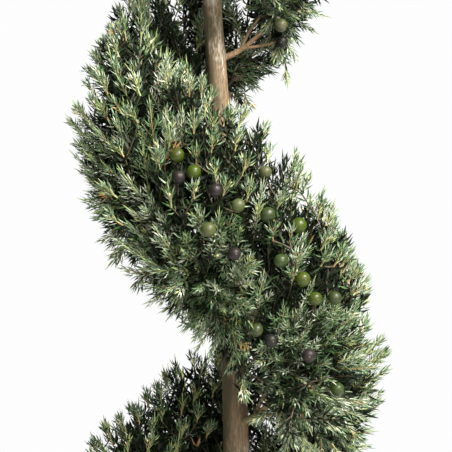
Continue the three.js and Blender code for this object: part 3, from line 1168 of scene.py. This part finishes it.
@dataclass
class Mass:
    """One mass of foliage: sprays from its outline back to the twigs that carry them."""

    node: str
    seed: int
    limb: np.ndarray             # points along the wood that the twigs may fork from
    limb_radius: float           # radius at that wood's end
    habit: Habit = Habit()
    twig_radius: float = 0.5     # of a twig that carries one spray
    tries: float = 0.085         # sprays tried on each square millimetre of the outline
    inner_tries: float = 0.06    # and old inner shoots
    inward_gap: float = 0.12     # how much wider the spacing is on the side that faces the stem
    dip_gap: float = 0.25        # how much wider it is in the dips between clumps
    spread: float = 1.1          # how much the sprays fan out
    fan_centre: float = 0.4      # from where, as a share of the way from the limb's end to the middle
    rise: float = 0.5            # how much they turn upwards
    flow: float = 0.4            # how much neighbouring sprays turn together
    flow_length: float = 46.0    # distance over which that turn changes
    scatter: float = 0.14        # how much each turns by itself
    lengths: tuple[float, float] = (15.0, 46.0)
    tip_depth: float = 0.45      # how deep a tip may lie, as a share of the foliage's thickness there
    foot_depth: float = 0.85     # and the foot of its spray
    shortest: float = 10.0       # length that a spray keeps all the same
    lead: tuple[float, float] = (4.0, 14.0)      # how far the leaders stick out
    side_share: float = 0.92     # share of the forks that have a side shoot
    side_shift: float = 0.07     # how far a fork may lie off its place, as a share of the main shoot
    side_reach: tuple[float, float] = (0.35, 0.68)       # length, as a share of the main shoot's left
    side_lengths: tuple[float, float] = (5.0, 15.0)
    side_angles: tuple[float, float] = (28.0, 44.0)      # degrees off the main shoot
    hollow: float = 6.5          # depth of the dips between clumps
    clump: float = 33.0          # millimetres from clump to clump
    clearance: float = 7.0       # how far from every other shoot an inner one's middle lies
    cover: float = 16.0          # how much shorter an inner shoot is than twice its depth
    young: float = 0.045         # share of the side shoots that are yellower than the rest
    dry: float = 0.004           # share that are brown and dry
    tone_drift: float = 0.14     # how much the tone changes from one part of the mass to the next
    tone_length: float = 48.0    # distance over which it does
    tone_scatter: float = 0.13   # how much it changes from spray to spray
    middle: np.ndarray = field(init=False)
    rng: np.random.Generator = field(init=False)

    def __post_init__(self) -> None:
        """Finds the mass's middle and seeds its own chance."""
        self.middle = vertices_of(self.node).mean(0)
        self.rng = np.random.default_rng(MASS_SEED + self.seed)

    def tips(self, outline: Outline, layer: Layer) -> tuple[np.ndarray, np.ndarray, np.ndarray]:
        """Chooses where sprays end on the outline, evenly but with dips between clumps.

        Args:
            outline: The surface of the whole foliage.
            layer: The sprays' depth.

        Returns:
            The tips, the outward direction at each, and how far each sits in a dip, from 0 to 1.
        """
        spots, out = outline.surface(self.node, self.tries, self.rng)
        radial = unit((spots - self.limb[0]) * (1, 1, 0))
        facing = np.einsum("ij,ij->i", out, radial)
        dip = smooth_step(-0.1, 0.55, drift(spots, self.clump, 1.5))
        wider = 1 + self.inward_gap * smooth_step(0.1, -0.9, facing) + self.dip_gap * dip
        chosen = spaced(spots, layer.gap * self.habit.openness * wider, range(len(spots)))
        return spots[chosen], out[chosen], dip[chosen]

    def cut(self, points: np.ndarray) -> np.ndarray:
        """How far the snips and the mass's own trim move the sprays at each point of the outline."""
        upper = smooth_step(-10, 40, points[:, 2:] - self.middle[2])
        return sum(snip.at(points) for snip in SNIPS) - UP * self.habit.trim * upper

    def sprays(self, outline: Outline, layer: Layer) -> Shoots:
        """Places the main shoot of each spray of one layer.

        Args:
            outline: The surface of the whole foliage.
            layer: The sprays' depth.

        Returns:
            The main shoots, one to a spray.
        """
        tips, out, dip = self.tips(outline, layer)
        count = len(tips)
        core = self.limb[-1] + self.fan_centre * (self.middle - self.limb[-1])
        lift = self.rise * smooth_step(-0.6, 0.3, out[:, 2:]) * self.rng.uniform(0.5, 1.3, (count, 1))
        flow = np.stack([drift(tips, self.flow_length, seed) for seed in (2.0, 13.0, 29.0)], axis=-1)
        heading = unit(
            0.5 * out + self.spread * unit(tips - core) + UP * lift + self.flow * flow
            + self.rng.normal(0, self.scatter, (count, 3))
        )
        length = (layer.length * self.rng.normal(1, 0.2, count)).clip(*self.lengths)
        room = np.array([outline.thickness(p, -h) for p, h in zip(tips - 0.5 * out, heading)])
        sink = dip * self.hollow + self.rng.uniform(*layer.sink, count)
        sink -= self.rng.uniform(*self.lead, count) * (self.rng.random(count) < layer.leaders)
        fits = (sink >= 0.7 * layer.sink[0]) & ((layer.shade == 0) | (sink < 0.5 * room))
        sink = np.minimum(sink, self.tip_depth * room)
        length = np.minimum(length, np.maximum(self.foot_depth * room - sink, self.shortest))
        ends = tips + self.cut(tips) - heading * sink[:, None]
        bases = ends - heading * length[:, None]
        droop = (self.rng.uniform(0.02, 0.16, count) * length)[:, None]
        sag = unit(np.cross(np.cross(heading, -UP), heading)) * droop
        sag += self.rng.normal(0, 0.03, (count, 3)) * length[:, None]
        return Shoots(
            start=bases, heading=(ends - bases + sag) / length[:, None], bend=-sag / (length**2)[:, None],
            length=length, bare=length * self.rng.uniform(0.06, 0.2, count),
            tone=self.tones(bases, layer.shade), face=out,
        ).kept(fits)

    def fillers(self, outline: Outline, layer: Layer, others: list[Shoots]) -> Shoots:
        """Places old inner shoots wherever the outer sprays leave an empty pocket; the inner layer's shade
        gives them the darkest tone, as painted shade.

        Args:
            outline: The surface of the whole foliage.
            layer: The depth, spacing and length of the inner shoots.
            others: The shoots that are there already.

        Returns:
            The inner shoots.
        """
        spots, out = outline.surface(self.node, self.inner_tries, self.rng)
        room = np.array([outline.thickness(p, -n) for p, n in zip(spots, out)])
        depth = np.minimum(self.rng.uniform(*layer.sink, len(spots)), 0.55 * room)
        inside = spots + self.cut(spots) - out * depth[:, None]
        taken = []
        for shoots in others:
            every = np.arange(len(shoots.length))
            taken += [shoots.at(every, shoots.length * share) for share in (0.4, 0.7, 1.0)]
        taken = np.concatenate(taken)
        near = KDTree(len(taken))
        for i, point in enumerate(taken):
            near.insert(point, i)
        near.balance()
        wider = self.habit.openness**2
        deep = np.flatnonzero(depth > 0.9 * layer.sink[0])
        free = [i for i in deep if near.find(inside[i])[2] > self.clearance * wider]
        chosen = spaced(inside, np.full(len(inside), layer.gap * wider), free)
        count = len(chosen)
        middles = inside[chosen]
        heading = unit(unit(middles - self.limb[-1]) + 0.4 * UP + self.rng.normal(0, 0.5, (count, 3)))
        length = layer.length * self.rng.uniform(0.8, 1.2, count)
        length = np.minimum(length, 2 * depth[chosen] - self.cover)
        return Shoots(
            start=middles - heading * length[:, None] / 2, heading=heading, bend=np.zeros((count, 3)),
            length=length, bare=np.full(count, 2.0), tone=self.tones(middles, layer.shade),
            face=out[chosen],
        )

    def side_shoots(self, main: Shoots, layer: Layer) -> Shoots:
        """Grows shorter shoots out of others, left and right by turns, so that a spray is a loose fan.

        Args:
            main: The shoots that they leave.
            layer: Their layer, for where they leave.

        Returns:
            The side shoots.
        """
        count, forks = len(main.length), len(layer.forks)
        which = np.repeat(np.arange(count), forks)
        share = np.tile(layer.forks, count)
        share = share + self.rng.uniform(-self.side_shift, self.side_shift, len(which))
        sign = np.tile((-1.0) ** np.arange(forks), count)
        sign *= np.repeat(self.rng.choice([-1, 1], count), forks)
        keep = self.rng.random(len(which)) < self.side_share
        which, share, sign = which[keep], share[keep], sign[keep]
        s = share * main.length[which]
        along = main.along(which, s)
        side = unit(np.cross(along, main.face[which] + 0.01)) * sign[:, None]
        turn = self.rng.normal(0.15, 0.5, len(which))[:, None]
        out = side * np.cos(turn) + np.cross(side, along) * (np.sin(turn) * sign[:, None])
        off = np.radians(self.rng.uniform(*self.side_angles, len(which)))[:, None]
        heading = along * np.cos(off) + out * np.sin(off)
        left = main.length[which] * (1.04 - share)
        length = (left * self.rng.uniform(*self.side_reach, len(which))).clip(*self.side_lengths)
        bend = (along - heading) * 0.25 / length[:, None]
        chance = self.rng.random(len(which))
        tone = main.tone[which]
        tone = np.where(chance < self.young * (1 - layer.shade), NEEDLE_TONES.index(NeedleTone.YOUNG), tone)
        tone = np.where(chance > 1 - self.dry, NEEDLE_TONES.index(NeedleTone.DRY), tone)
        return Shoots(
            start=main.at(which, s), heading=heading, bend=bend, length=length,
            bare=np.full(len(which), 1.2), tone=tone, face=main.face[which],
        )

    def tones(self, starts: np.ndarray, shade: float) -> np.ndarray:
        """Deals a needle tone to each spray, in drifts of bluer and greener ones.

        Args:
            starts: Where the sprays start.
            shade: How much darker they are, as a share of the range, as painted shade.

        Returns:
            The number of each spray's tone.
        """
        # painted shade: deeper layers and masses that lie in shadow get darker tones
        level = 0.5 - shade - self.habit.shading + self.tone_drift * drift(starts, self.tone_length, 6.0)
        level += self.rng.normal(0, self.tone_scatter, len(starts))
        return np.clip(1 + np.floor(level * PALEST).astype(int), 0, PALEST)

    def add_stems(
        self, store: MeshStore, shoots: Shoots, rings: int, radii: tuple[float, float],
        tones: tuple[WoodTone, WoodTone],
    ) -> None:
        """Adds the shoots' own stems.

        Args:
            store: Where the stems go, with the WoodTone finishes.
            shoots: The shoots.
            rings: Rings along each stem.
            radii: Its radius at the foot and at the end.
            tones: The bark of the older foot and of the young end.
        """
        count = len(shoots.length)
        share = np.linspace(0, 1, rings)
        which = np.repeat(np.arange(count), rings)
        s = (shoots.length[:, None] * share).ravel()
        centres = shoots.at(which, s).reshape(count, rings, 3)
        along = shoots.along(which, s).reshape(count, rings, 3)
        tapered = np.broadcast_to(radii[0] + (radii[1] - radii[0]) * share, (count, rings))
        old, young = (WOOD_TONES.index(tone) for tone in tones)
        slots = np.where(share[None, 1:] > shoots.bare[:, None] / shoots.length[:, None] + 0.2, young, old)
        slots = np.where(self.rng.random((count, 1)) < 0.16, old, slots)
        store.add_tubes(centres, along, tapered, 3, slots)

    def add_tips(self, store: MeshStore, shoots: Shoots, form: TipForm) -> None:
        """Adds buds or closed points to the ends of some shoots.

        Args:
            store: Where they go, with the WoodTone finishes.
            shoots: The shoots.
            form: What they look like, and how many shoots have one.
        """
        chosen = shoots.kept(self.rng.random(len(shoots.length)) < form.share)
        count = len(chosen.length)
        which = np.arange(count)
        end, along = chosen.at(which, chosen.length), chosen.along(which, chosen.length)
        size = self.rng.uniform(0.75, 1.2, (count, 1))
        beyond = np.array([0.0, 0.4, 1.0]) * form.length * size - 0.5
        centres = end[:, None] + along[:, None] * beyond[:, :, None]
        radii = np.array([0.5, 1.0, 0.12]) * form.radius * size
        slot = WOOD_TONES.index(form.tone)
        store.add_tubes(centres, np.repeat(along[:, None], 3, axis=1), radii, 4, slot)

    def build(self, outline: Outline, berries: Berries, bough: Bough | None, trunk: Trunk) -> None:
        """Makes the mass's two pieces: its wood, and its needles.

        Args:
            outline: The surface of the whole foliage.
            berries: The berries, which keep needles off and hang on this mass's shoots.
            bough: The mass's limb, or none where it sits on the stem.
            trunk: The stem.
        """
        twigs = Twigs()
        twigs.start_from(self.limb, -1)
        for curve, _ in bough.limbs(trunk)[1:] if bough else []:
            fork = int(np.linalg.norm(self.limb - curve[0], axis=1).argmin())
            twigs.start_from(curve[3::3], fork)
        clear = berries.balls(self.node)
        if bough:
            clear = np.vstack([clear, bough.clearings(trunk)])
        mains = [self.sprays(outline, layer).cut_short(clear) for layer in LAYERS]
        sides = [self.side_shoots(main, layer).cut_short(clear) for layer, main in zip(LAYERS, mains)]
        mains.append(self.fillers(outline, INNER, [*mains, *sides]).cut_short(clear))
        sides.append(self.side_shoots(mains[-1], INNER).cut_short(clear))
        bases = np.concatenate([main.start for main in mains])
        for i in np.argsort(np.linalg.norm(bases - self.limb[-1], axis=1)):
            twigs.grow_to(bases[i], self.rng)
        berries.attach(self.node, mains[0])

        wood = MeshStore([*(tone.value for tone in WOOD_TONES), LIMB_BARK])
        needles = MeshStore([tone.value for tone in NEEDLE_TONES])
        if bough:
            bough.add_to(wood, trunk, len(WOOD_TONES))
        twigs.add_to(wood, self.limb_radius, self.twig_radius)
        for layer, main, side in zip((*LAYERS, INNER), mains, sides):
            # painted shade: the stems of the deeper layers take the dark bark tones
            tones = (WoodTone.OLD, WoodTone.BROWN) if layer.shade else (WoodTone.STRAW, WoodTone.GREEN)
            self.add_stems(wood, main, layer.rings, MAIN_STEM, tones)
            self.add_stems(wood, side, 2, SIDE_STEM, tones)
            if layer.shade == 0:
                self.add_tips(wood, side, BUD)
                self.add_tips(wood, main, SPIKE)
            layer.needles.add_to(needles, main.joined(side), clear, self.rng)
        TWIG_NEEDLES.add_to(needles, twigs.leafy(1.0, 1.0, NeedleTone.DEEP), clear, self.rng)
        # painted shade: the needles on the inner twigs take the darkest tone
        OLD_NEEDLES.add_to(needles, twigs.leafy(2.0, 5.0, NeedleTone.SHADE), clear, self.rng)
        number = self.node.rsplit("_", 1)[-1]
        wood.piece(f"twigs_{number}", "bark", *([bough.node] if bough else []))
        needles.piece(f"needles_{number}", "foliage", self.node)


# ---- Berries ----


@dataclass(frozen=True)
class BerrySpot:
    """A berry on the front of the foliage: how far to the right and up, its skin and relative size."""

    across: float
    height: float
    skin: BerrySkin
    size: float = 1.0


FRONT_BERRIES = (
    BerrySpot(-26, 566, BerrySkin.GREEN), BerrySpot(-25, 554, BerrySkin.PURPLE),
    BerrySpot(-17, 557, BerrySkin.GREEN), BerrySpot(-5, 547, BerrySkin.PURPLE),
    BerrySpot(7, 539, BerrySkin.BLUE_GREEN), BerrySpot(-9, 526, BerrySkin.BLUE_GREEN),
    BerrySpot(5, 513, BerrySkin.PURPLE), BerrySpot(23, 534, BerrySkin.DARK_GREEN),
    BerrySpot(22, 557, BerrySkin.BLUE_GREEN, 0.9), BerrySpot(40, 528, BerrySkin.GREEN, 1.08),
    BerrySpot(30, 509, BerrySkin.DARK_GREEN), BerrySpot(42, 499, BerrySkin.GREEN, 1.15),
    BerrySpot(49, 488, BerrySkin.GREEN), BerrySpot(60, 488, BerrySkin.DARK_GREEN),
    BerrySpot(25, 465, BerrySkin.BLUE_BLACK), BerrySpot(17, 471, BerrySkin.DARK_GREEN),
    BerrySpot(46, 456, BerrySkin.PURPLE), BerrySpot(63, 435, BerrySkin.DARK_GREEN),
    BerrySpot(33, 644.5, BerrySkin.BLUE_GREEN), BerrySpot(34, 635.5, BerrySkin.BLUE_BLACK),
)


SKIN_SHARES = {
    BerrySkin.GREEN: 0.34, BerrySkin.PURPLE: 0.22, BerrySkin.DARK_GREEN: 0.2, BerrySkin.BLUE_GREEN: 0.14,
    BerrySkin.BLUE_BLACK: 0.1,
}


@dataclass
class Berry:
    """One berry: its centre, the way its tip points, its radius and skin, and where its stalk starts."""

    centre: np.ndarray
    out: np.ndarray
    radius: float
    skin: BerrySkin
    root: np.ndarray | None = None


@dataclass
class Berries:
    """The berries, 7 to 10 mm across, each just inside the outline."""

    outline: Outline
    radius: float = 4.0
    depth: float = 4.0           # how far under the outline a berry's centre lies
    tries: float = 0.004         # berries tried on each square millimetre of the outline
    per_mass: int = 4
    apart: float = 2.1           # least distance between two centres, in radii
    room: float = 0.6            # how far needles keep off a berry
    front_room: float = 3.8      # and how far in front of its centre a second clear ball lies
    front: tuple[float, float] = (380.0, 665.0)  # heights between which the front has its own berries only
    segments: int = 12
    rings: int = 8
    scar: float = 0.11           # how far from the tip the scar reaches, as an angle
    lobe: float = 0.018          # how far the three scales that a berry is made of stand out, in radii
    dent: float = 0.05           # depth of the dent at the tip, in radii
    stalk: tuple[float, float, float] = (0.45, 0.35, 0.35)       # radii from the berry to the shoot
    made: dict[str, list[Berry]] = field(default_factory=dict)
    rng: np.random.Generator = field(default_factory=lambda: np.random.default_rng(BERRY_SEED))

    def place(self) -> None:
        """Places every berry: first the ones on the front, then the rest by chance."""
        self.made = {node: [] for node in self.outline.nodes}
        for spot in FRONT_BERRIES:
            start = Vector((spot.across, -200.0, spot.height))
            hit, normal, face, _ = self.outline.tree.ray_cast(start, Vector((0, 1, 0)))
            if hit is not None:
                out = unit(np.array(normal) + (0.3, -0.8, 0.3) + self.rng.normal(0, 0.25, 3))
                centre = np.array(hit) + (0, self.depth, 0)
                self.made[self.outline.owners[face]].append(self.berry(centre, out, spot.skin, spot.size))
        skins = list(SKIN_SHARES)
        for node, found in self.made.items():
            spots, outs = self.outline.surface(node, self.tries, self.rng)
            wanted = self.per_mass
            for spot, out in zip(spots, outs):
                in_front = out[1] < 0.8 and self.front[0] < spot[2] < self.front[1]
                hidden = out @ unit(spot * (1, 1, 0)) < 0.0 or out[2] < -0.3
                centre = spot - out * (self.depth + self.rng.uniform(1, 4))
                near = [b for b in found if np.linalg.norm(centre - b.centre) < self.apart * self.radius]
                if wanted > 0 and not (in_front or hidden or near):
                    tip = unit(out + UP * 0.3 + self.rng.normal(0, 0.25, 3))
                    skin = skins[self.rng.choice(len(skins), p=list(SKIN_SHARES.values()))]
                    found.append(self.berry(centre, tip, skin))
                    wanted -= 1

    def berry(self, centre: np.ndarray, out: np.ndarray, skin: BerrySkin, size: float = 1.0) -> Berry:
        """A berry of a size that varies a little."""
        return Berry(centre, out, self.radius * size * self.rng.uniform(0.9, 1.08), skin)

    def attach(self, node: str, main: Shoots) -> None:
        """Gives each berry of a mass the nearest shoot for its stalk.

        Args:
            node: The mass.
            main: The mass's main shoots.
        """
        every = np.arange(len(main.length))
        spots = np.concatenate([main.at(every, main.length * share) for share in (0.2, 0.35, 0.5, 0.65)])
        for berry in self.made[node]:
            behind = (spots - berry.centre) @ berry.out > -0.3 * berry.radius
            berry.root = spots[(np.linalg.norm(spots - berry.centre, axis=1) + 20 * behind).argmin()]

    def balls(self, node: str) -> np.ndarray:
        """The room that each berry of a mass keeps clear, as rows of x, y, z and radius."""
        rows = []
        for berry in self.made[node]:
            rows.append([*berry.centre, berry.radius + self.room])
            rows.append([*(berry.centre + berry.out * self.front_room), berry.radius * 0.58])
        return np.array(rows).reshape(-1, 4)

    def build(self) -> None:
        """Makes one piece of all the berries and their stalks."""
        slots = [*BerrySkin, WoodTone.SCAR, WoodTone.BROWN]
        store = MeshStore([tone.value for tone in slots])
        ripe: list[np.ndarray] = []
        k, sides = np.arange(self.segments), self.segments
        down = np.concatenate([[self.scar], math.pi * np.arange(1, self.rings) / self.rings])
        lobes = 1 + self.lobe * np.cos(3 * 2 * math.pi * k / sides) * np.sin(down)[:, None] ** 2
        dent = 1 - self.dent * np.exp(-((down / 0.3) ** 2))
        for berry in (b for found in self.made.values() for b in found):
            ring = rings_round(berry.out, sides, (0.2, 0.5, 0.84))
            body = ring * (np.sin(down)[:, None] * lobes)[..., None]
            body = body + berry.out * (np.cos(down) * dent)[:, None, None]
            skin = slots.index(berry.skin)
            first = store.add_skins((berry.centre + body * berry.radius)[None], skin)
            poles = store.add_points(berry.centre + np.array([berry.out * 0.94, -berry.out]) * berry.radius)
            top = np.stack([np.full(sides, poles), first + (k + 1) % sides, first + k], axis=-1)
            store.add_faces(top, slots.index(WoodTone.SCAR), smooth=True)
            bottom = first + (len(down) - 1) * sides
            under = np.stack([np.full(sides, poles + 1), bottom + k, bottom + (k + 1) % sides], axis=-1)
            store.add_faces(under, skin, smooth=True)
            blush = self.rng.uniform(0.1, 0.7) * (0.5 + 0.5 * np.cos(down))
            ripe.append(np.concatenate([np.repeat(blush, sides), [blush[0], 0.0]]))
            foot = berry.centre - berry.out * berry.radius * 0.95
            line = np.stack([foot, (foot + berry.root) / 2 - berry.out * 0.6, berry.root])[None]
            headings = np.stack([-berry.out, berry.root - foot, berry.root - foot])[None]
            store.add_tubes(line, unit(headings), np.array([self.stalk]), 4, slots.index(WoodTone.BROWN))
            ripe.append(np.zeros(4 * len(self.stalk)))
        piece = store.piece("berries", "berry")
        piece.data.attributes.new("ripe", "FLOAT", "POINT").data.foreach_set("value", np.concatenate(ripe))


# ---- Studio ----


@dataclass(frozen=True)
class Lamp:
    """A square soft lamp."""

    name: str
    place: tuple[float, float, float]    # from the point that it faces
    size: float                  # its side
    power: float                 # watts

    def hang(self, target: Vector) -> None:
        """Hangs the lamp so that it faces a point, given in metres."""
        data = bpy.data.lights.new(self.name, "AREA")
        data.size, data.energy, data.color = self.size * MM, self.power, (1.0, 0.97, 0.91)
        lamp = bpy.data.objects.new(self.name, data)
        lamp.location = target + Vector(self.place) * MM
        lamp.rotation_euler = (target - lamp.location).to_track_quat("-Z", "Y").to_euler()
        bpy.context.scene.collection.objects.link(lamp)


@dataclass
class Studio:
    """Pale floor, white surroundings, a key lamp, broad soft lamps in front and behind, and the camera."""

    floor_radius: float = 1700.0
    distance: float = 800.0      # camera to the stem
    elevation: float = 2.0       # degrees
    aim: tuple[float, float] = (0.45, 525.0)     # what the camera and the lamps face, across and up
    view_width: float = 271.2    # what the frame spans at the stem
    ambient: float = 0.24
    lamps: tuple[Lamp, ...] = (
        Lamp("key_lamp", (820, -880, 1150), 300, 104.0),
        Lamp("fill_lamp", (330, -1300, 600), 800, 22.0),
        Lamp("back_lamp", (-600, 1200, 700), 900, 16.0),
    )

    def floor(self) -> None:
        """Lays the floor, a level disc at the ground."""
        count = 96
        angle = 2 * math.pi * np.arange(count) / count
        rim = np.stack([np.cos(angle), np.sin(angle), 0 * angle], axis=-1) * self.floor_radius * MM
        mesh = bpy.data.meshes.new("floor")
        mesh.from_pydata(rim.tolist(), [], [list(range(count))])
        mesh.materials.append(FloorFinish().material())
        floor = bpy.data.objects.new("floor", mesh)
        bpy.context.scene.collection.objects.link(floor)

    def surroundings(self) -> None:
        """Makes the white surroundings, brighter to look at than to be lit by."""
        world = bpy.data.worlds.new("studio")
        world.use_nodes = True
        tree = world.node_tree
        tree.nodes.clear()
        seen = add_node(tree, "ShaderNodeBackground", {"Color": (0.985, 0.985, 0.985, 1), "Strength": 1.0})
        light = add_node(tree, "ShaderNodeBackground", {
            "Color": (1.0, 0.98, 0.94, 1), "Strength": self.ambient,
        })
        ray = add_node(tree, "ShaderNodeLightPath")
        mixed = add_node(tree, "ShaderNodeMixShader", links={
            0: ray.outputs["Is Camera Ray"], 1: light.outputs[0], 2: seen.outputs[0],
        })
        add_node(tree, "ShaderNodeOutputWorld", links={"Surface": mixed.outputs[0]})
        bpy.context.scene.world = world
        bpy.context.scene.view_settings.view_transform = "Standard"

    def target(self) -> Vector:
        """The point that the camera and the lamps face, in metres."""
        return Vector((self.aim[0], 0, self.aim[1])) * MM

    def camera(self) -> None:
        """Sets the camera in front of the stem, looking slightly down."""
        data = bpy.data.cameras.new("camera")
        data.lens = data.sensor_width / 2 / (self.view_width / 2 / self.distance)
        data.clip_start, data.clip_end = 0.02, 20.0
        camera = bpy.data.objects.new("camera", data)
        tilt = math.radians(self.elevation)
        back = Vector((0, -math.cos(tilt), math.sin(tilt)))
        camera.location = self.target() + back * self.distance * MM
        camera.rotation_euler = (-back).to_track_quat("-Z", "Y").to_euler()
        bpy.context.scene.collection.objects.link(camera)
        bpy.context.scene.camera = camera

    def build(self) -> None:
        """Sets up the whole studio."""
        self.floor()
        self.surroundings()
        for lamp in self.lamps:
            lamp.hang(self.target())
        self.camera()


# ---- Assembly ----

WOOD_FROM = 0.45             # share of a bough beyond which twigs fork from it


def main() -> None:
    """Builds the plant piece by piece, then the studio."""
    logging.basicConfig(level=logging.INFO, format="%(name)s: %(message)s")
    masses = sorted(p["node"] for p in frame["record"]["subparts"] if p["node"].startswith("foliage_"))
    habits = {node: HABITS.get(node, Habit()) for node in masses}
    trunk = Trunk()
    boughs = {n: Bough(n.replace("foliage", "bough"), bare_room=habits[n].bare_room) for n in masses}
    trunk.build(list(boughs.values()))

    outline = Outline([*masses, "top_tuft"])
    berries = Berries(outline)
    berries.place()
    for number, node in enumerate(masses):
        curve, radii = boughs[node].path(trunk)
        wood = curve[int(WOOD_FROM * len(curve)) :: 3]
        mass = Mass(node, number, wood, float(radii[-1]), habits[node])
        mass.build(outline, berries, boughs[node], trunk)
    tip_heights = np.linspace(vertices_of("top_tuft")[:, 2].min(), trunk.heights[-1], 12)
    tuft = Mass("top_tuft", len(masses), trunk.centre(tip_heights), 1.0, rise=1.1)
    tuft.build(outline, berries, None, trunk)
    berries.build()
    Studio().build()

    meshes = [o.data for o in bpy.data.objects if o.type == "MESH" and not o.hide_render]
    total = sum(len(face.vertices) - 2 for mesh in meshes for face in mesh.polygons)
    LOG.info("triangles in all: %d", total)
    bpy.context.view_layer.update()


if __name__ == "__main__":
    main()
